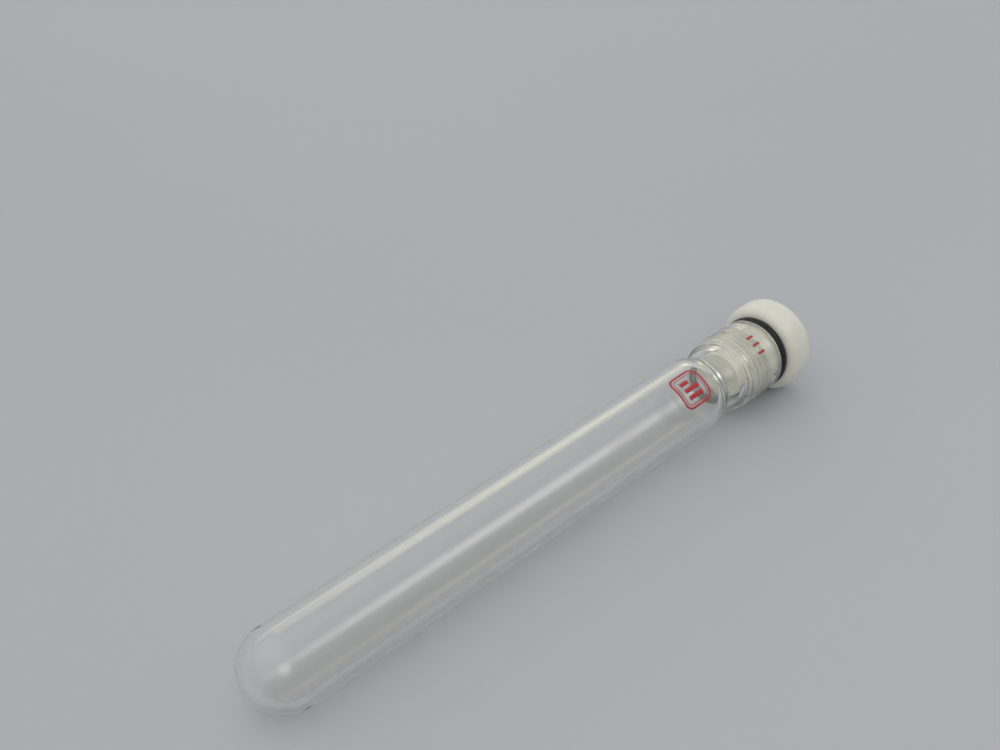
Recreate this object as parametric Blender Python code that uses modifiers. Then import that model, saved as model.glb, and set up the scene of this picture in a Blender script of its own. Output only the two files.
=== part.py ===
"""Heavy-wall glass pressure tube with a screw-in plug and an O-ring, lying on its side.

Run with: blender --background --python part.py
Metres, +Z up. The tube's axis runs along +X, from the round end to the plug's head. The origin is
under the middle of the whole assembly, level with the lowest point of the head.

Each piece is turned about its own local Z, which the empties lay along world X. Heights in the
profiles are measured along the tube from the outside of its round end, or from the glass rim.
"""

import math

import bpy
from mathutils import Matrix

MM = 0.001

# Glass tube: a 25.2 mm body with a round end, a narrow waist, and a thick threaded neck.
BODY_RADIUS = 12.6 * MM
BODY_BORE_RADIUS = 9.6 * MM
END_WALL = 3.4 * MM
SHOULDER_HEIGHT = 185.9 * MM  # where the straight body ends
WAIST_RADIUS = 9.2 * MM
SHOULDER_ROUNDING = 14.0 * MM
WAIST_ROUNDING = 0.8 * MM
NECK_ROUNDING = 12.0 * MM
NECK_BASE_RADIUS = 13.25 * MM
COLLAR_RADIUS = 12.95 * MM
COLLAR_BORE_RADIUS = 10.15 * MM
RIM_HEIGHT = 221.7 * MM
RIM_ROUNDING = 0.9 * MM

# Rounded screw thread, right-handed, ten turns to the inch.
THREAD_PITCH = 2.54 * MM
THREAD_DEPTH = 0.9 * MM
THREAD_TOP_BELOW_RIM = 5.0 * MM
THREAD_LENGTH = 12.8 * MM
THREAD_FADE = 2.0 * MM
GLASS_THREAD_RADIUS = 9.45 * MM  # halfway between crest and root
THREAD_CLEARANCE = 0.35 * MM

# Screw plug, measured from the glass rim: the nose is below it and the head above it.
HEAD_RADIUS = 16.0 * MM
HEAD_THICKNESS = 11.5 * MM
HEAD_ROUNDING = 3.5 * MM
SHANK_RADIUS = 9.8 * MM
NOSE_RADIUS = 8.4 * MM
NOSE_DEPTH = 19.2 * MM
NOSE_CHAMFER = 0.8 * MM
PLUG_THREAD_LENGTH = 11.6 * MM
PLUG_THREAD_SHIFT = 0.4 * MM  # the plug's thread sits this much nearer the rim than the glass's

# O-ring, which nearly fills the space between the rim and the head.
RING_INNER_RADIUS = 10.0 * MM
RING_THICKNESS = 3.0 * MM
RING_SPACE = 3.25 * MM

# Mesh fineness.
SEGMENTS = 36
RINGS_PER_PITCH = 6
MERGE_DISTANCE = 0.00001

TOTAL_LENGTH = RIM_HEIGHT + RING_SPACE + HEAD_THICKNESS
AXIS_HEIGHT = HEAD_RADIUS
RIM_X = RIM_HEIGHT - TOTAL_LENGTH / 2
ALONG_X = Matrix.Rotation(math.radians(90), 4, "Y")  # local +Z to world +X


def clear_scene():
    for obj in list(bpy.data.objects):
        bpy.data.objects.remove(obj, do_unlink=True)


def new_collection(name):
    collection = bpy.data.collections.new(name)
    bpy.context.scene.collection.children.link(collection)
    return collection


def principled(name, colour, roughness, transmission=0.0, ior=1.45):
    material = bpy.data.materials.new(name)
    material.use_nodes = True
    shader = material.node_tree.nodes["Principled BSDF"]
    shader.inputs["Base Color"].default_value = (*colour, 1.0)
    shader.inputs["Metallic"].default_value = 0.0
    shader.inputs["Roughness"].default_value = roughness
    shader.inputs["Transmission Weight"].default_value = transmission
    shader.inputs["IOR"].default_value = ior
    material.diffuse_color = (*colour, 1.0)
    return material


def arc(centre_radius, centre_height, rounding, start, end, steps):
    """Points (radius, height) round an arc. Angles are in degrees, 0 outwards and 90 upwards."""
    angles = [math.radians(start + (end - start) * i / steps) for i in range(steps + 1)]
    return [
        (centre_radius + rounding * math.cos(a), centre_height + rounding * math.sin(a))
        for a in angles
    ]


def ring_heights(low, high):
    """Heights for the rings of a thread zone, a whole number of them to each turn."""
    step = THREAD_PITCH / RINGS_PER_PITCH
    count = math.ceil((high - low) / step)
    return [low + (high - low) * i / count for i in range(count + 1)]


def ramp(height, low, high):
    """Smooth 0 to 1 between two heights."""
    t = min(max((height - low) / (high - low), 0.0), 1.0)
    return t * t * (3 - 2 * t)


def rise_between(centre_a, rounding_a, centre_b, rounding_b):
    """The height between two arcs' centres when the arcs meet smoothly."""
    return math.sqrt((rounding_a + rounding_b) ** 2 - (centre_b - centre_a) ** 2)


SHOULDER_CENTRE = BODY_RADIUS - SHOULDER_ROUNDING
WAIST_CENTRE = WAIST_RADIUS + WAIST_ROUNDING
NECK_CENTRE = NECK_BASE_RADIUS - NECK_ROUNDING
SHOULDER_TO_WAIST = rise_between(
    SHOULDER_CENTRE, SHOULDER_ROUNDING, WAIST_CENTRE, WAIST_ROUNDING
)
WAIST_TO_NECK = rise_between(NECK_CENTRE, NECK_ROUNDING, WAIST_CENTRE, WAIST_ROUNDING)
WAIST_HEIGHT = SHOULDER_HEIGHT + SHOULDER_TO_WAIST
NECK_HEIGHT = WAIST_HEIGHT + WAIST_TO_NECK


def waist_profile(depth):
    """Neck corner, waist and shoulder as three arcs that run smoothly into each other.

    depth is how far the line lies under the outer surface, so that the wall is even there.
    """
    neck_angle = math.degrees(math.atan2(WAIST_TO_NECK, WAIST_CENTRE - NECK_CENTRE))
    shoulder_angle = math.degrees(math.atan2(SHOULDER_TO_WAIST, WAIST_CENTRE - SHOULDER_CENTRE))
    points = arc(NECK_CENTRE, NECK_HEIGHT, NECK_ROUNDING - depth, 0, -neck_angle, 7)
    waist_rounding = WAIST_ROUNDING + depth
    waist_angles = (180 - neck_angle, 180 + shoulder_angle)
    points += arc(WAIST_CENTRE, WAIST_HEIGHT, waist_rounding, *waist_angles, 5)[1:-1]
    shoulder_rounding = SHOULDER_ROUNDING - depth
    points += arc(SHOULDER_CENTRE, SHOULDER_HEIGHT, shoulder_rounding, shoulder_angle, 0, 7)
    return points


def glass_outside():
    """The outer wall from the rim down to the round end."""
    points = arc(COLLAR_RADIUS - RIM_ROUNDING, RIM_HEIGHT - RIM_ROUNDING, RIM_ROUNDING, 90, 0, 3)
    points.append((COLLAR_RADIUS, RIM_HEIGHT - THREAD_TOP_BELOW_RIM))
    points += waist_profile(0)
    points += arc(0, BODY_RADIUS, BODY_RADIUS, 0, -90, 9)
    return points


def glass_inside():
    """The bore from the bottom of the round end up to the rim."""
    bore_end = END_WALL + BODY_BORE_RADIUS
    points = arc(0, bore_end, BODY_BORE_RADIUS, -90, 0, 8)
    thread_top = RIM_HEIGHT - THREAD_TOP_BELOW_RIM
    thread_low = thread_top - THREAD_LENGTH
    for radius, height in reversed(waist_profile(BODY_RADIUS - BODY_BORE_RADIUS)):
        if height < WAIST_HEIGHT or radius < GLASS_THREAD_RADIUS:
            points.append((radius, height))
    for height in ring_heights(thread_low, thread_top):
        widening = ramp(height, thread_top - THREAD_FADE, thread_top)
        radius = GLASS_THREAD_RADIUS + widening * (COLLAR_BORE_RADIUS - GLASS_THREAD_RADIUS)
        points.append((radius, height))
    mouth_radius = COLLAR_BORE_RADIUS + RIM_ROUNDING
    points += arc(mouth_radius, RIM_HEIGHT - RIM_ROUNDING, RIM_ROUNDING, 180, 90, 3)
    return points


def plug_outline():
    """The plug from the middle of its head's flat end down to the middle of its nose.

    Heights are from the glass rim.
    """
    head_top = RING_SPACE + HEAD_THICKNESS
    corner_radius = HEAD_RADIUS - HEAD_ROUNDING
    points = [(0, head_top)]
    points += arc(corner_radius, head_top - HEAD_ROUNDING, HEAD_ROUNDING, 90, 0, 5)
    points += arc(corner_radius, RING_SPACE + HEAD_ROUNDING, HEAD_ROUNDING, 0, -90, 5)
    points.append((SHANK_RADIUS, RING_SPACE))
    thread_top = PLUG_THREAD_SHIFT - THREAD_TOP_BELOW_RIM
    thread_low = thread_top - PLUG_THREAD_LENGTH
    thread_radius = GLASS_THREAD_RADIUS - THREAD_CLEARANCE
    for height in reversed(ring_heights(thread_low, thread_top)):
        to_shank = ramp(height, thread_top - THREAD_FADE, thread_top)
        to_nose = 1 - ramp(height, thread_low, thread_low + THREAD_FADE)
        radius = thread_radius + to_shank * (SHANK_RADIUS - thread_radius)
        radius += to_nose * (NOSE_RADIUS - thread_radius)
        points.append((radius, height))
    points.append((NOSE_RADIUS, NOSE_CHAMFER - NOSE_DEPTH))
    points.append((NOSE_RADIUS - NOSE_CHAMFER, -NOSE_DEPTH))
    points.append((0, -NOSE_DEPTH))
    return points


def turned(name, outline):
    """A solid of revolution about local Z, from (radius, height) points run down its outer side."""
    mesh = bpy.data.meshes.new(name)
    edges = [(i, i + 1) for i in range(len(outline) - 1)]
    mesh.from_pydata([(radius, 0, height) for radius, height in outline], edges, [])
    source = bpy.data.objects.new(name + "_outline", mesh)
    bpy.context.scene.collection.objects.link(source)
    screw = source.modifiers.new("turn", "SCREW")
    screw.axis = "Z"
    screw.steps = SEGMENTS
    screw.render_steps = SEGMENTS
    screw.use_merge_vertices = True
    screw.merge_threshold = MERGE_DISTANCE
    screw.use_smooth_shade = True
    graph = bpy.context.evaluated_depsgraph_get()
    solid = bpy.data.meshes.new_from_object(source.evaluated_get(graph))
    solid.name = name
    bpy.data.objects.remove(source, do_unlink=True)
    bpy.data.meshes.remove(mesh)
    return bpy.data.objects.new(name, solid)


def cut_thread(obj, low, high, zone_radius, rim_height):
    """Moves the points of a thread zone in and out along a right-handed helix.

    The helix is counted from the glass rim, so that the plug's thread stays in step with the
    glass's. The ridge fades out at both ends of the zone.
    """
    for vertex in obj.data.vertices:
        x, y, height = vertex.co
        radius = math.hypot(x, y)
        if not low < height < high or radius > zone_radius or radius < MERGE_DISTANCE:
            continue
        turn = 2 * math.pi * (height - rim_height) / THREAD_PITCH - math.atan2(y, x)
        fade = ramp(height, low, low + THREAD_FADE) * (1 - ramp(height, high - THREAD_FADE, high))
        grown = radius + fade * THREAD_DEPTH / 2 * math.cos(turn)
        vertex.co.x = x * grown / radius
        vertex.co.y = y * grown / radius


def finish_piece(obj, collection, parent, material):
    obj.data.materials.clear()
    obj.data.materials.append(material)
    obj.data.shade_smooth()
    obj.data.set_sharp_from_angle(angle=math.radians(50))
    collection.objects.link(obj)
    obj.parent = parent


def axis_empty(name, collection, x):
    """An empty on the tube's axis whose local Z points along world X."""
    empty = bpy.data.objects.new(name, None)
    empty.empty_display_size = 5 * MM
    empty.matrix_world = Matrix.Translation((x, 0, AXIS_HEIGHT)) @ ALONG_X
    collection.objects.link(empty)
    return empty


def build_glass_tube(collection, parent):
    obj = turned("glass_tube", glass_inside() + glass_outside())
    thread_top = RIM_HEIGHT - THREAD_TOP_BELOW_RIM
    cut_thread(obj, thread_top - THREAD_LENGTH, thread_top, COLLAR_BORE_RADIUS + 0.5 * MM, RIM_HEIGHT)
    glass = principled("borosilicate_glass", (0.90, 0.94, 0.90), 0.02, transmission=1.0, ior=1.47)
    finish_piece(obj, collection, parent, glass)


def build_threaded_plug(collection, parent):
    obj = turned("threaded_plug", plug_outline())
    thread_top = PLUG_THREAD_SHIFT - THREAD_TOP_BELOW_RIM
    cut_thread(obj, thread_top - PLUG_THREAD_LENGTH, thread_top, HEAD_RADIUS, 0.0)
    finish_piece(obj, collection, parent, principled("white_ptfe", (0.76, 0.76, 0.70), 0.45))


def build_o_ring(collection, parent):
    section_radius = RING_THICKNESS / 2
    bpy.ops.mesh.primitive_torus_add(
        major_segments=SEGMENTS,
        minor_segments=12,
        major_radius=RING_INNER_RADIUS + section_radius,
        minor_radius=section_radius,
    )
    obj = bpy.context.active_object
    obj.name = "o_ring"
    obj.data.name = "o_ring"
    obj.data.transform(Matrix.Translation((0, 0, RING_SPACE / 2)))
    for home in list(obj.users_collection):
        home.objects.unlink(obj)
    finish_piece(obj, collection, parent, principled("black_rubber", (0.015, 0.015, 0.016), 0.35))


def main():
    clear_scene()
    collection = new_collection("screw_plug_pressure_tube")
    tube_axis = axis_empty("tube_axis", collection, -TOTAL_LENGTH / 2)
    plug_axis = axis_empty("plug_axis", collection, RIM_X)
    build_glass_tube(collection, tube_axis)
    build_threaded_plug(collection, plug_axis)
    build_o_ring(collection, plug_axis)


main()
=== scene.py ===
"""Looks of a heavy-wall screw-plug glass tube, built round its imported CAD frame.

The glass, the plug and the O-ring are remade as fine meshes on the same axis and with the same
sizes as their CAD solids. The red enamel marks are thin strokes fired onto the glass.
Metres; the tube lies along +X with the plug's head at the +X end. Lengths named here are in
millimetres where they are multiplied by MM. Heights along the tube are counted from the glass rim,
positive towards the head.
"""

import math

import bmesh
import bpy
from mathutils import Matrix, Vector


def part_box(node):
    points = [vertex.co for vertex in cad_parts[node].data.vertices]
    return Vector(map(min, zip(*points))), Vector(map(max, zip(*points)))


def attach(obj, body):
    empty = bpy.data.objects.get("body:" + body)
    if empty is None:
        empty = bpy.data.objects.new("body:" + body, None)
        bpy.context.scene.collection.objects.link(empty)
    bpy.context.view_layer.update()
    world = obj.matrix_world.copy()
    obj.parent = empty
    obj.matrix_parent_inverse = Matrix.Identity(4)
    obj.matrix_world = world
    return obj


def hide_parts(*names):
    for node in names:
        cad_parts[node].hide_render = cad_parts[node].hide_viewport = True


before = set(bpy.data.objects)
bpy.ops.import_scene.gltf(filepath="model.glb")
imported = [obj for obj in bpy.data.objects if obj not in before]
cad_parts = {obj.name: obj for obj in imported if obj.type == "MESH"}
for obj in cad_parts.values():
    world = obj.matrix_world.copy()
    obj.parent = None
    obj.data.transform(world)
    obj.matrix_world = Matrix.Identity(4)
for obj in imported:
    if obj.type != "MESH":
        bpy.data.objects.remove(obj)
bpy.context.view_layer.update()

MM = 0.001
glass_low, glass_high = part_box("glass_tube")
plug_low, plug_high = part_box("threaded_plug")
ring_low, ring_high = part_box("o_ring")

# Places from the frame.
AXIS_HEIGHT = (plug_low.z + plug_high.z) / 2
RIM_X = glass_high.x
ORIGIN = Vector((RIM_X, 0, AXIS_HEIGHT))
GLASS_LENGTH = glass_high.x - glass_low.x
HEAD_RADIUS = (plug_high.z - plug_low.z) / 2
HEAD_TOP = plug_high.x - RIM_X
NOSE_DEPTH = RIM_X - plug_low.x
NECK_BASE_RADIUS = (glass_high.z - glass_low.z) / 2
RING_OUTER_RADIUS = (ring_high.z - ring_low.z) / 2

# Glass tube.
BODY_RADIUS = 12.6 * MM
BODY_BORE_RADIUS = 9.6 * MM
END_WALL = 3.4 * MM
BODY_LENGTH = 185.9 * MM  # from the round end to the start of the shoulder
SHOULDER_HEIGHT = BODY_LENGTH - GLASS_LENGTH
SHOULDER_ROUNDING = 14.0 * MM
WAIST_RADIUS = 9.2 * MM
WAIST_ROUNDING = 0.8 * MM
NECK_ROUNDING = 12.0 * MM
COLLAR_RADIUS = 12.95 * MM
COLLAR_BORE_RADIUS = 10.15 * MM
RIM_ROUNDING = 0.9 * MM

# Rounded right-handed screw thread. The radii are those of its mean line.
THREAD_PITCH = 2.54 * MM
THREAD_DEPTH = 0.9 * MM
THREAD_FADE = 2.0 * MM  # length over which it runs out at each end
GLASS_THREAD_RADIUS = 9.45 * MM
GLASS_THREAD_TOP = -5.0 * MM
GLASS_THREAD_LOW = GLASS_THREAD_TOP - 12.8 * MM
NECK_RIPPLE = 0.09 * MM  # how much the thread shows in the neck's outer surface
PLUG_THREAD_RADIUS = GLASS_THREAD_RADIUS - 0.35 * MM
PLUG_THREAD_TOP = GLASS_THREAD_TOP + 0.4 * MM
PLUG_THREAD_LOW = PLUG_THREAD_TOP - 11.6 * MM
PLUG_THREAD_SQUARENESS = 1.3  # 0 is a plain wave

# Screw plug.
HEAD_THICKNESS = 11.5 * MM
HEAD_ROUNDING = 3.5 * MM
HEAD_BACK = HEAD_TOP - HEAD_THICKNESS
SHANK_RADIUS = 9.8 * MM
SHANK_FILLET = 0.3 * MM
NOSE_RADIUS = 8.4 * MM
NOSE_CHAMFER = 0.8 * MM

# O-ring, squeezed until it fills the space between rim and head.
RING_INNER_RADIUS = 9.85 * MM
RING_GAP = 0.02 * MM
RING_FLASH = 0.05 * MM  # height of the moulding line
RING_FLASH_WIDTH = 0.12 * MM
RING_SQUARENESS = 2.5  # exponent of the section's curve, 2 for an ellipse

# Mesh fineness.
SEGMENTS = 160
RING_SECTION_POINTS = 72
THREAD_RING_STEP = 0.12 * MM


def arc(centre_radius, centre_height, rounding, start, end, steps):
    """Points (radius, height) round an arc. Angles are in degrees, 0 outwards and 90 upwards."""
    angles = [math.radians(start + (end - start) * i / steps) for i in range(steps + 1)]
    return [
        (centre_radius + rounding * math.cos(a), centre_height + rounding * math.sin(a))
        for a in angles
    ]


def ramp(value, low, high):
    """Smooth 0 to 1 between two values."""
    t = min(max((value - low) / (high - low), 0.0), 1.0)
    return t * t * (3 - 2 * t)


def steps_between(low, high, step):
    count = max(1, round(abs(high - low) / step))
    return [low + (high - low) * i / count for i in range(count + 1)]


def thread_wave(height, angle, low, high, squareness):
    """The helix's height between -1 and 1, fading out at both ends of its zone."""
    wave = math.cos(2 * math.pi * height / THREAD_PITCH - angle)
    if squareness:
        wave = math.tanh(squareness * wave) / math.tanh(squareness)
    fade = ramp(height, low, low + THREAD_FADE) * (1 - ramp(height, high - THREAD_FADE, high))
    return wave * fade


def new_object(name, mesh, location=ORIGIN):
    obj = bpy.data.objects.new(name, mesh)
    obj.location = location
    bpy.context.scene.collection.objects.link(obj)
    return obj


def mesh_from(name, build, sharp_degrees=180):
    """A mesh from a bmesh that build(bm) fills, faces out and shaded smooth."""
    bm = bmesh.new()
    build(bm)
    if bm.calc_volume(signed=True) < 0:
        bmesh.ops.reverse_faces(bm, faces=bm.faces)
    mesh = bpy.data.meshes.new(name)
    bm.to_mesh(mesh)
    bm.free()
    mesh.shade_smooth()
    if sharp_degrees < 180:
        mesh.set_sharp_from_angle(angle=math.radians(sharp_degrees))
    return mesh


def revolve(name, outline, relief=None, closed=False, sharp_degrees=180):
    """A solid turned about the tube's axis from (radius, height, part) points.

    relief(radius, height, angle, part) gives the radius there. Angle 0 points down.
    """

    def build(bm):
        rings = []
        for radius, height, part in outline:
            if radius < 1e-7:
                rings.append([bm.verts.new((height, 0, 0))])
                continue
            ring = []
            for i in range(SEGMENTS):
                angle = 2 * math.pi * i / SEGMENTS
                r = relief(radius, height, angle, part) if relief else radius
                ring.append(bm.verts.new((height, r * math.sin(angle), -r * math.cos(angle))))
            rings.append(ring)
        pairs = list(zip(rings, rings[1:]))
        if closed:
            pairs.append((rings[-1], rings[0]))
        for a, b in pairs:
            for i in range(SEGMENTS):
                j = (i + 1) % SEGMENTS
                if len(a) == 1:
                    bm.faces.new((a[0], b[j], b[i]))
                elif len(b) == 1:
                    bm.faces.new((a[i], a[j], b[0]))
                else:
                    bm.faces.new((a[i], a[j], b[j], b[i]))

    return mesh_from(name, build, sharp_degrees)


def tagged(points, part):
    return [(radius, height, part) for radius, height in points]


# ---------------------------------------------------------------- shapes


def waist_profile(depth):
    """Neck corner, waist and shoulder as three arcs that run smoothly into each other.

    depth is how far the line lies under the outer surface, so that the wall is even there.
    """
    shoulder_centre = BODY_RADIUS - SHOULDER_ROUNDING
    waist_centre = WAIST_RADIUS + WAIST_ROUNDING
    neck_centre = NECK_BASE_RADIUS - NECK_ROUNDING
    rise_to_waist = math.sqrt(
        (SHOULDER_ROUNDING + WAIST_ROUNDING) ** 2 - (waist_centre - shoulder_centre) ** 2
    )
    rise_to_neck = math.sqrt(
        (NECK_ROUNDING + WAIST_ROUNDING) ** 2 - (waist_centre - neck_centre) ** 2
    )
    waist_height = SHOULDER_HEIGHT + rise_to_waist
    neck_height = waist_height + rise_to_neck
    neck_angle = math.degrees(math.atan2(rise_to_neck, waist_centre - neck_centre))
    shoulder_angle = math.degrees(math.atan2(rise_to_waist, waist_centre - shoulder_centre))
    points = arc(neck_centre, neck_height, NECK_ROUNDING - depth, 0, -neck_angle, 28)
    waist_rounding = WAIST_ROUNDING + depth
    points += arc(
        waist_centre, waist_height, waist_rounding, 180 - neck_angle, 180 + shoulder_angle, 20
    )[1:-1]
    shoulder_rounding = SHOULDER_ROUNDING - depth
    points += arc(shoulder_centre, SHOULDER_HEIGHT, shoulder_rounding, shoulder_angle, 0, 28)
    return points


def glass_outline():
    waist = waist_profile(0)
    neck_height = waist[0][1]
    wall = BODY_RADIUS - BODY_BORE_RADIUS
    end = -GLASS_LENGTH
    bore_end = end + END_WALL + BODY_BORE_RADIUS
    inside = arc(0, bore_end, BODY_BORE_RADIUS, -90, 0, 28)
    for radius, height in reversed(waist_profile(wall)):
        if height < SHOULDER_HEIGHT + wall or radius < GLASS_THREAD_RADIUS:
            inside.append((radius, height))
    inside.append((GLASS_THREAD_RADIUS, GLASS_THREAD_LOW))
    for height in steps_between(GLASS_THREAD_LOW, GLASS_THREAD_TOP, THREAD_RING_STEP)[1:]:
        opening = ramp(height, GLASS_THREAD_TOP - THREAD_FADE, GLASS_THREAD_TOP)
        inside.append(
            (GLASS_THREAD_RADIUS + opening * (COLLAR_BORE_RADIUS - GLASS_THREAD_RADIUS), height)
        )
    inside += arc(COLLAR_BORE_RADIUS + RIM_ROUNDING, -RIM_ROUNDING, RIM_ROUNDING, 180, 90, 8)
    outside = arc(COLLAR_RADIUS - RIM_ROUNDING, -RIM_ROUNDING, RIM_ROUNDING, 90, 0, 8)
    for height in steps_between(GLASS_THREAD_TOP, neck_height, 2 * THREAD_RING_STEP)[:-1]:
        widening = ramp(height, GLASS_THREAD_TOP, neck_height)
        outside.append((COLLAR_RADIUS + widening * (NECK_BASE_RADIUS - COLLAR_RADIUS), height))
    outside += waist
    outside += arc(0, end + BODY_RADIUS, BODY_RADIUS, 0, -90, 36)
    return tagged(inside, "inside") + tagged(outside, "outside")


def glass_relief(radius, height, angle, part):
    if not GLASS_THREAD_LOW < height < GLASS_THREAD_TOP:
        return radius
    depth = THREAD_DEPTH / 2 if part == "inside" else NECK_RIPPLE
    return radius + depth * thread_wave(height, angle, GLASS_THREAD_LOW, GLASS_THREAD_TOP, 0)


def plug_outline():
    corner = HEAD_RADIUS - HEAD_ROUNDING
    fillet = SHANK_FILLET
    points = [(0, HEAD_TOP)]
    points += arc(corner, HEAD_TOP - HEAD_ROUNDING, HEAD_ROUNDING, 90, 0, 16)
    points += arc(corner, HEAD_BACK + HEAD_ROUNDING, HEAD_ROUNDING, 0, -90, 16)
    points += arc(SHANK_RADIUS + fillet, HEAD_BACK - fillet, fillet, 90, 180, 4)
    mean = PLUG_THREAD_RADIUS
    for height in steps_between(PLUG_THREAD_TOP, PLUG_THREAD_LOW, THREAD_RING_STEP):
        to_shank = ramp(height, PLUG_THREAD_TOP - THREAD_FADE, PLUG_THREAD_TOP)
        to_nose = 1 - ramp(height, PLUG_THREAD_LOW, PLUG_THREAD_LOW + THREAD_FADE)
        points.append(
            (mean + to_shank * (SHANK_RADIUS - mean) + to_nose * (NOSE_RADIUS - mean), height)
        )
    points.append((NOSE_RADIUS, NOSE_CHAMFER - NOSE_DEPTH))
    points.append((NOSE_RADIUS - NOSE_CHAMFER, -NOSE_DEPTH))
    points.append((0, -NOSE_DEPTH))
    return tagged(points, "plug")


def plug_relief(radius, height, angle, part):
    if not PLUG_THREAD_LOW < height < PLUG_THREAD_TOP:
        return radius
    wave = thread_wave(
        height, angle, PLUG_THREAD_LOW, PLUG_THREAD_TOP, PLUG_THREAD_SQUARENESS
    )
    return radius + THREAD_DEPTH / 2 * wave


def ring_outline():
    """The ring's section, flattened where it is pressed on, with a fine moulding line outside."""
    middle = (RING_INNER_RADIUS + RING_OUTER_RADIUS) / 2
    half_width = (RING_OUTER_RADIUS - RING_FLASH - RING_INNER_RADIUS) / 2
    middle_height = HEAD_BACK / 2
    half_height = middle_height - RING_GAP
    power = 2 / RING_SQUARENESS
    points = []
    for i in range(RING_SECTION_POINTS):
        a = 2 * math.pi * i / RING_SECTION_POINTS
        c, s = math.cos(a), math.sin(a)
        radius = middle + half_width * math.copysign(abs(c) ** power, c)
        height = middle_height + half_height * math.copysign(abs(s) ** power, s)
        flash = RING_FLASH * math.exp(-((height - middle_height) / RING_FLASH_WIDTH) ** 2)
        points.append((radius + (flash if c > 0 else 0), height))
    return tagged(points, "ring")


# ---------------------------------------------------------------- materials


class Nodes:
    """A material's node tree, with short calls for the nodes that it needs."""

    def __init__(self, name):
        self.material = bpy.data.materials.new(name)
        self.material.use_nodes = True
        self.tree = self.material.node_tree
        self.shader = self.tree.nodes["Principled BSDF"]
        self.output = self.tree.nodes["Material Output"]
        self.place = self.new("ShaderNodeTexCoord").outputs["Object"]

    def new(self, kind, **settings):
        node = self.tree.nodes.new(kind)
        for key, value in settings.items():
            setattr(node, key, value)
        return node

    def link(self, source, target):
        self.tree.links.new(source, target)

    def set(self, **values):
        for key, value in values.items():
            self.shader.inputs[key.replace("_", " ")].default_value = value

    def xyz(self):
        """The place's x, along the tube from the rim, and its y and z from the axis."""
        split = self.new("ShaderNodeSeparateXYZ")
        self.link(self.place, split.inputs["Vector"])
        return split.outputs

    def noise(self, scale, detail, roughness=0.5, stretch=(1, 1, 1)):
        place = self.new("ShaderNodeMapping")
        self.link(self.place, place.inputs["Vector"])
        place.inputs["Scale"].default_value = stretch
        node = self.new("ShaderNodeTexNoise")
        self.link(place.outputs["Vector"], node.inputs["Vector"])
        node.inputs["Scale"].default_value = scale
        node.inputs["Detail"].default_value = detail
        node.inputs["Roughness"].default_value = roughness
        return node.outputs["Fac"]

    def math(self, operation, a, b=None):
        node = self.new("ShaderNodeMath", operation=operation)
        for socket, value in zip(node.inputs, (a, b)):
            if value is None:
                continue
            if isinstance(value, (int, float)):
                socket.default_value = value
            else:
                self.link(value, socket)
        return node.outputs[0]

    def between(self, value, low, high, to_low=0.0, to_high=1.0):
        """A smooth change from to_low to to_high as value goes from low to high."""
        node = self.new("ShaderNodeMapRange", interpolation_type="SMOOTHSTEP")
        self.link(value, node.inputs["Value"])
        for key, number in (
            ("From Min", low), ("From Max", high), ("To Min", to_low), ("To Max", to_high)
        ):
            node.inputs[key].default_value = number
        return node.outputs["Result"]

    def mix(self, factor, a, b):
        node = self.new("ShaderNodeMix", data_type="RGBA")
        self.link(factor, node.inputs["Factor"])
        for name, value in (("A", a), ("B", b)):
            socket = next(s for s in node.inputs if s.name == name and s.type == "RGBA")
            if isinstance(value, tuple):
                socket.default_value = (*value, 1.0)
            else:
                self.link(value, socket)
        return next(s for s in node.outputs if s.type == "RGBA")

    def bump(self, height, distance, strength):
        node = self.new("ShaderNodeBump")
        node.inputs["Strength"].default_value = strength
        node.inputs["Distance"].default_value = distance
        self.link(height, node.inputs["Height"])
        self.link(node.outputs["Normal"], self.shader.inputs["Normal"])

    def let_lamps_through(self, colour):
        """Rays to a lamp go straight through, so that what is inside the glass is lit."""
        clear = self.new("ShaderNodeBsdfTransparent")
        self.link(colour, clear.inputs["Color"])
        choice = self.new("ShaderNodeMixShader")
        self.link(self.new("ShaderNodeLightPath").outputs["Is Shadow Ray"], choice.inputs[0])
        self.link(self.shader.outputs[0], choice.inputs[1])
        self.link(clear.outputs[0], choice.inputs[2])
        self.link(choice.outputs[0], self.output.inputs["Surface"])


def glass_material():
    """Clear borosilicate: drawn ripples along the tube, a trace of handling haze, a faint tint.

    The threaded neck turns more light aside than the plain body, so less gets through it.
    """
    n = Nodes("borosilicate_glass")
    n.set(Base_Color=(1, 1, 1, 1), Transmission_Weight=1.0, IOR=1.474)
    ripple = n.noise(320, 1.0, 0.4, stretch=(0.03, 1, 1))
    n.bump(ripple, 0.016 * MM, 0.2)
    haze = n.between(n.noise(55, 4.0, 0.6), 0.5, 0.8, 0.0, 0.06)
    n.link(haze, n.shader.inputs["Roughness"])
    neck_start = SHOULDER_HEIGHT + SHOULDER_ROUNDING
    in_neck = n.between(n.xyz()["X"], SHOULDER_HEIGHT, neck_start)
    body_passes, neck_passes = (0.98, 0.98, 0.975), (0.91, 0.91, 0.90)
    n.let_lamps_through(n.mix(in_neck, body_passes, neck_passes))
    volume = n.new("ShaderNodeVolumeAbsorption")
    volume.inputs["Color"].default_value = (0.78, 0.80, 0.60, 1)
    volume.inputs["Density"].default_value = 12.0
    n.link(volume.outputs["Volume"], n.output.inputs["Volume"])
    return n.material


TURNING_MARK_PITCH = 0.22 * MM


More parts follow.
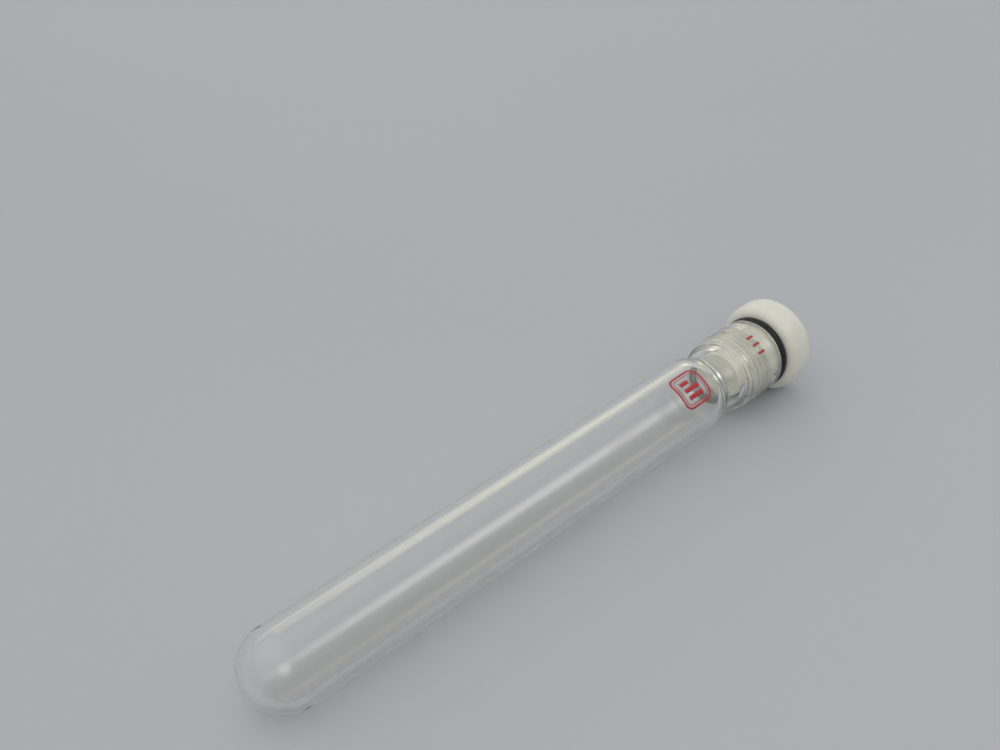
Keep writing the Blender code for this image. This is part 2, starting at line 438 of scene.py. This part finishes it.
def ptfe_material():
    """Waxy off-white with fine turning marks, faint stains and small dark nicks.

    The shank is painted darker than the head where it sits in the glass: painted shade for the
    light that the glass holds back from it. Between the turns of its thread it is painted darker
    still, as painted shade in the thread valleys; since that goes by distance from the axis, the
    painted shade also falls on a disc about 18 mm across on the outer end of the head.
    """
    n = Nodes("turned_ptfe")
    n.set(Subsurface_Weight=0.25, Subsurface_Scale=1.2 * MM, IOR=1.38)
    n.shader.inputs["Subsurface Radius"].default_value = (1.0, 0.9, 0.7)
    x, y, z = n.xyz()
    across = n.math("SQRT", n.math("ADD", n.math("MULTIPLY", y, y), n.math("MULTIPLY", z, z)))
    mottle = n.between(n.noise(90, 4.0, 0.6), 0.35, 0.7)
    unshaded = n.mix(mottle, (0.77, 0.77, 0.685), (0.715, 0.71, 0.62))
    # Painted shade: the colour of the shank inside the glass is darker, standing in for the light
    # that the glass holds back from it.
    painted_shade_in_glass = n.mix(mottle, (0.65, 0.655, 0.57), (0.59, 0.595, 0.505))
    in_glass = n.between(x, HEAD_BACK - 1.0 * MM, HEAD_BACK, 1.0, 0.0)
    base = n.mix(in_glass, unshaded, painted_shade_in_glass)
    # Painted shade: darker where the surface lies nearest the axis between the thread turns.
    # Because it goes by distance from the axis alone, it also darkens a disc about 18 mm across on
    # the head's outer end.
    valley_low, valley_high = PLUG_THREAD_RADIUS - 0.4 * MM, PLUG_THREAD_RADIUS + 0.1 * MM
    valley = n.between(across, valley_low, valley_high, 1.0, 0.0)
    on_thread = n.between(
        x, PLUG_THREAD_LOW + 0.5 * THREAD_FADE, PLUG_THREAD_LOW + 1.2 * THREAD_FADE
    )
    painted_valley_shade = n.math("MULTIPLY", n.math("MULTIPLY", valley, on_thread), 0.55)
    base = n.mix(painted_valley_shade, base, (0.36, 0.37, 0.29))
    stain = n.between(n.noise(230, 3.0, 0.6), 0.66, 0.75)
    stained = n.mix(n.math("MULTIPLY", stain, 0.5), base, (0.42, 0.39, 0.29))
    nick = n.between(n.noise(1500, 1.0, 0.5), 0.74, 0.79)
    coloured = n.mix(n.math("MULTIPLY", nick, 0.6), stained, (0.30, 0.28, 0.22))
    n.link(coloured, n.shader.inputs["Base Color"])
    n.link(n.between(mottle, 0, 1, 0.36, 0.52), n.shader.inputs["Roughness"])
    turns = n.math("MULTIPLY", n.math("ADD", x, across), 2 * math.pi / TURNING_MARK_PITCH)
    groove = n.math("SINE", turns)
    worn = n.between(n.noise(140, 3.0, 0.6), 0.3, 0.7)
    height = n.math("ADD", n.math("MULTIPLY", groove, worn), n.math("MULTIPLY", nick, -6.0))
    n.bump(height, 0.0045 * MM, 1.0)
    return n.material


def rubber_material():
    """Satin black rubber with a little dust."""
    n = Nodes("black_rubber")
    n.set(Specular_IOR_Level=0.3)
    dust = n.between(n.noise(900, 3.0, 0.7), 0.6, 0.75)
    colour = n.mix(dust, (0.012, 0.012, 0.013), (0.045, 0.044, 0.042))
    n.link(colour, n.shader.inputs["Base Color"])
    n.link(n.between(n.noise(400, 2.0), 0.3, 0.7, 0.42, 0.6), n.shader.inputs["Roughness"])
    n.bump(n.noise(2500, 2.0), 0.01 * MM, 0.4)
    return n.material


def enamel_material():
    """Deep red enamel, paler where it was printed thin."""
    n = Nodes("fired_red_enamel")
    thin = n.between(n.noise(1800, 3.0, 0.65), 0.45, 0.68)
    colour = n.mix(thin, (0.42, 0.010, 0.014), (0.60, 0.075, 0.07))
    n.link(colour, n.shader.inputs["Base Color"])
    n.link(n.between(thin, 0, 1, 0.28, 0.5), n.shader.inputs["Roughness"])
    n.bump(n.noise(3000, 2.0), 0.01 * MM, 0.5)
    return n.material


def floor_material():
    n = Nodes("pale_floor")
    colour = n.mix(n.noise(3, 2.0), (0.45, 0.46, 0.49), (0.47, 0.48, 0.51))
    n.link(colour, n.shader.inputs["Base Color"])
    n.set(Roughness=0.7)
    return n.material


# ---------------------------------------------------------------- enamel marks

ENAMEL_THICKNESS = 0.04 * MM
ENAMEL_GAP = 0.004 * MM
STROKE_STEP = 0.25 * MM
MARK_CORNER_STEPS = 6
BODY_MARK_HEIGHT, BODY_MARK_ANGLE = -44.6 * MM, -33
COLLAR_MARK_HEIGHT, COLLAR_MARK_ANGLE = -9.0 * MM, -32
COLLAR_MARK_LIFT = 0.1 * MM  # clears the ripple of the neck's surface


def wrapped(radius, along, around, centre_height, centre_angle, lift):
    """A point of a flat pattern laid on the glass. Angles are from the top, towards +Y."""
    angle = centre_angle + around / radius
    r = radius + lift
    return Vector((centre_height + along, r * math.sin(angle), r * math.cos(angle)))


def stroke(bm, path, width, closed, wrap):
    """A thin closed solid along a flat path of (along, around) points."""
    count = len(path)
    rows = []
    for i, (s, t) in enumerate(path):
        before = path[(i - 1) % count] if closed or i else path[i]
        after = path[(i + 1) % count] if closed or i < count - 1 else path[i]
        direction = Vector((after[0] - before[0], after[1] - before[1])).normalized()
        side = Vector((-direction.y, direction.x)) * width / 2
        row = []
        for sign, lift in ((-1, 0), (1, 0), (1, 1), (-1, 1)):
            point = (s + sign * side.x, t + sign * side.y)
            row.append(bm.verts.new(wrap(*point, ENAMEL_GAP + lift * ENAMEL_THICKNESS)))
        rows.append(row)
    pairs = list(zip(rows, rows[1:]))
    if closed:
        pairs.append((rows[-1], rows[0]))
    faces = []
    for a, b in pairs:
        for i in range(4):
            j = (i + 1) % 4
            faces.append(bm.faces.new((a[i], a[j], b[j], b[i])))
    if not closed:
        faces.append(bm.faces.new(rows[0][::-1]))
        faces.append(bm.faces.new(rows[-1]))
    bmesh.ops.recalc_face_normals(bm, faces=faces)


def line(start, end):
    """Points of a straight stroke."""
    length = math.dist(start, end)
    count = max(2, round(length / STROKE_STEP))
    return [
        (start[0] + (end[0] - start[0]) * i / count, start[1] + (end[1] - start[1]) * i / count)
        for i in range(count + 1)
    ]


def rounded_frame(length, width, rounding):
    """Points round a rectangle with round corners, centred on 0."""
    corners = ((1, 1, 0), (-1, 1, 90), (-1, -1, 180), (1, -1, 270))
    points = []
    for sx, sy, start in corners:
        cx, cy = sx * (length / 2 - rounding), sy * (width / 2 - rounding)
        points += arc(cx, cy, rounding, start, start + 90, MARK_CORNER_STEPS)
    dense = []
    for a, b in zip(points, points[1:] + points[:1]):
        dense += line(a, b)[:-1] if math.dist(a, b) > 2 * STROKE_STEP else [a]
    return dense


def make_mark(name, strokes, radius, height, angle):
    """A mark of (path, width in millimetres, closed) strokes, wrapped round the glass."""

    def wrap(along, around, lift):
        return wrapped(radius, along, around, height, math.radians(angle), lift)

    def build(bm):
        for path, width, closed in strokes:
            stroke(bm, path, width * MM, closed, wrap)

    return mesh_from(name, build)


def body_mark_strokes():
    """A rounded frame with plain bars in it."""
    strokes = [
        (rounded_frame(12.4 * MM, 11.8 * MM, 2.6 * MM), 0.75, True),
        (rounded_frame(10.3 * MM, 9.7 * MM, 1.6 * MM), 0.3, True),
    ]
    for around, reach in ((-2.6, 3.4), (0.0, 3.4), (2.6, 0.6)):
        strokes.append((line((-3.4 * MM, around * MM), (reach * MM, around * MM)), 1.5, False))
    return strokes


def collar_mark_strokes():
    """Three short index ticks."""
    return [
        (line((-1.7 * MM, around * MM), (1.7 * MM, around * MM)), 0.95, False)
        for around in (-3.2, 0.0, 3.2)
    ]


# ---------------------------------------------------------------- pieces


def add_piece(name, mesh, material, body, node=None):
    obj = new_object(name, mesh)
    mesh.materials.append(material)
    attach(obj, body)
    if node:
        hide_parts(node)
    return obj


def build_object():
    add_piece(
        "glass_tube_fine", revolve("glass_tube_fine", glass_outline(), glass_relief),
        glass_material(), "glass_tube", "glass_tube",
    )
    add_piece(
        "threaded_plug_fine",
        revolve("threaded_plug_fine", plug_outline(), plug_relief, sharp_degrees=40),
        ptfe_material(), "threaded_plug", "threaded_plug",
    )
    add_piece(
        "o_ring_fine", revolve("o_ring_fine", ring_outline(), closed=True),
        rubber_material(), "o_ring", "o_ring",
    )
    enamel = enamel_material()
    add_piece(
        "body_mark",
        make_mark(
            "body_mark", body_mark_strokes(), BODY_RADIUS, BODY_MARK_HEIGHT, BODY_MARK_ANGLE
        ),
        enamel, "glass_tube",
    )
    add_piece(
        "collar_mark",
        make_mark(
            "collar_mark", collar_mark_strokes(), COLLAR_RADIUS + COLLAR_MARK_LIFT,
            COLLAR_MARK_HEIGHT, COLLAR_MARK_ANGLE,
        ),
        enamel, "glass_tube",
    )


# ---------------------------------------------------------------- stage, light and camera


FLOOR_REACH = 12.0
FLOOR_TOUCH_HEIGHT = HEAD_BACK + HEAD_ROUNDING  # where the head's rounded edge rests on it


def floor_tilt():
    """The angle at which a floor touches both the round end and the edge of the head."""
    span = FLOOR_TOUCH_HEIGHT + GLASS_LENGTH - BODY_RADIUS
    drop = HEAD_RADIUS - HEAD_ROUNDING
    lift = math.asin((BODY_RADIUS - HEAD_ROUNDING) / math.hypot(drop, span))
    return math.atan2(drop, span) - lift


def build_floor():
    tilt = floor_tilt()
    below_edge = HEAD_ROUNDING - HEAD_ROUNDING / math.cos(tilt)
    touch = Vector((RIM_X + FLOOR_TOUCH_HEIGHT, 0, below_edge))
    mesh = bpy.data.meshes.new("floor")
    bm = bmesh.new()
    bmesh.ops.create_grid(bm, x_segments=8, y_segments=8, size=FLOOR_REACH)
    bm.to_mesh(mesh)
    bm.free()
    mesh.materials.append(floor_material())
    floor = new_object("floor", mesh, touch)
    floor.rotation_euler = (0, tilt, 0)


LAMP_SOFT_EDGE = 0.45  # share of a lamp's width over which it fades
WARM_WHITE = (1.0, 0.98, 0.95)
LAMPS = (  # name, direction, distance, size, power, colour
    ("backdrop", (0.52, 0.75, 0.41), 1.3, (1.15, 0.72), 2.5, (1.0, 0.99, 0.62)),
    ("front_fill", (0.55, -0.54, 0.64), 1.4, (1.3, 0.95), 4.4, WARM_WHITE),
    ("side_fill", (-0.50, -0.66, 0.56), 1.5, (1.2, 1.2), 9.0, WARM_WHITE),
)


def area_light(name, direction, distance, size, power, colour):
    """A soft rectangle of light that faces the middle of the object, set square to the tube.

    size is its length along the tube and its width across it. It fades out towards its edges,
    as a lamp behind a cloth does.
    """
    light = bpy.data.lights.new(name, "AREA")
    light.shape = "RECTANGLE"
    light.size, light.size_y = size
    light.energy = power
    light.color = colour
    light.use_nodes = True
    tree = light.node_tree
    place = tree.nodes.new("ShaderNodeNewGeometry")
    split = tree.nodes.new("ShaderNodeSeparateXYZ")
    tree.links.new(place.outputs["Parametric"], split.inputs["Vector"])
    fades = []
    for share in split.outputs[:2]:
        hump = tree.nodes.new("ShaderNodeMath")
        hump.operation = "PINGPONG"
        hump.inputs[1].default_value = 0.5
        tree.links.new(share, hump.inputs[0])
        fade = tree.nodes.new("ShaderNodeMapRange")
        fade.interpolation_type = "SMOOTHSTEP"
        fade.inputs["From Max"].default_value = LAMP_SOFT_EDGE
        tree.links.new(hump.outputs[0], fade.inputs["Value"])
        fades.append(fade.outputs["Result"])
    strength = tree.nodes.new("ShaderNodeMath")
    strength.operation = "MULTIPLY"
    tree.links.new(fades[0], strength.inputs[0])
    tree.links.new(fades[1], strength.inputs[1])
    tree.links.new(strength.outputs[0], tree.nodes["Emission"].inputs["Strength"])
    obj = bpy.data.objects.new(name, light)
    bpy.context.scene.collection.objects.link(obj)
    toward = Vector(direction).normalized()
    obj.location = Vector((0, 0, AXIS_HEIGHT)) + toward * distance
    along = (Vector((1, 0, 0)) - toward * toward.x).normalized()
    across = toward.cross(along)
    obj.rotation_mode = "QUATERNION"
    obj.rotation_quaternion = Matrix((along, across, toward)).transposed().to_quaternion()
    obj.visible_camera = False


GLOWS = (  # direction, how squarely a ray faces it at its edge and middle, strength at each
    ((0.45, 0.35, 0.82), -0.60, 0.65, 0.11, 0.58),  # white backdrop
    ((-0.55, 0.05, 0.83), 0.30, 1.00, 0.0, 0.66),  # lit ceiling
)


def build_world():
    """The room's own light: a dim lower side, a white backdrop and a soft patch of lit ceiling."""
    world = bpy.data.worlds.new("studio")
    world.use_nodes = True
    tree = world.node_tree
    background = tree.nodes["Background"]
    background.inputs["Color"].default_value = (0.90, 0.90, 0.905, 1)
    direction = tree.nodes.new("ShaderNodeTexCoord")
    glows = []
    for side, dark_at, bright_at, dimmest, brightest in GLOWS:
        facing = tree.nodes.new("ShaderNodeVectorMath")
        facing.operation = "DOT_PRODUCT"
        facing.inputs[1].default_value = Vector(side).normalized()
        tree.links.new(direction.outputs["Generated"], facing.inputs[0])
        glow = tree.nodes.new("ShaderNodeMapRange")
        glow.interpolation_type = "SMOOTHSTEP"
        for key, value in (
            ("From Min", dark_at), ("From Max", bright_at),
            ("To Min", dimmest), ("To Max", brightest),
        ):
            glow.inputs[key].default_value = value
        tree.links.new(facing.outputs["Value"], glow.inputs["Value"])
        glows.append(glow.outputs["Result"])
    brightness = tree.nodes.new("ShaderNodeMath")
    brightness.operation = "ADD"
    tree.links.new(glows[0], brightness.inputs[0])
    tree.links.new(glows[1], brightness.inputs[1])
    tree.links.new(brightness.outputs[0], background.inputs["Strength"])
    bpy.context.scene.world = world


def build_light():
    build_world()
    for lamp in LAMPS:
        area_light(*lamp)


CAMERA_AIM = Vector((0.0504, 0.0721, 0.0))
CAMERA_DISTANCE = 0.5061
CAMERA_AZIMUTH = 45.66  # looks along +Y at 0, turned towards +X
CAMERA_ELEVATION = 33.39
CAMERA_ROLL = -0.63
CAMERA_LENS = 49.8


def build_camera():
    azimuth, elevation = math.radians(CAMERA_AZIMUTH), math.radians(CAMERA_ELEVATION)
    forward = Vector(
        (
            math.sin(azimuth) * math.cos(elevation),
            math.cos(azimuth) * math.cos(elevation),
            -math.sin(elevation),
        )
    )
    data = bpy.data.cameras.new("camera")
    data.lens = CAMERA_LENS
    data.sensor_width = 36
    data.clip_start, data.clip_end = 0.01, 50
    camera = bpy.data.objects.new("camera", data)
    bpy.context.scene.collection.objects.link(camera)
    turn = forward.to_track_quat("-Z", "Y").to_matrix() @ Matrix.Rotation(
        math.radians(CAMERA_ROLL), 3, "Z"
    )
    camera.matrix_world = Matrix.Translation(CAMERA_AIM - forward * CAMERA_DISTANCE) @ turn.to_4x4()
    bpy.context.scene.camera = camera


def set_colour_and_bounces():
    """Plain colours, and enough bounces for light to cross the walls of the glass."""
    scene = bpy.context.scene
    scene.view_settings.view_transform = "Standard"
    scene.cycles.max_bounces = 24
    scene.cycles.transmission_bounces = 24
    scene.cycles.glossy_bounces = 8


build_object()
build_floor()
build_light()
build_camera()
set_colour_and_bounces()
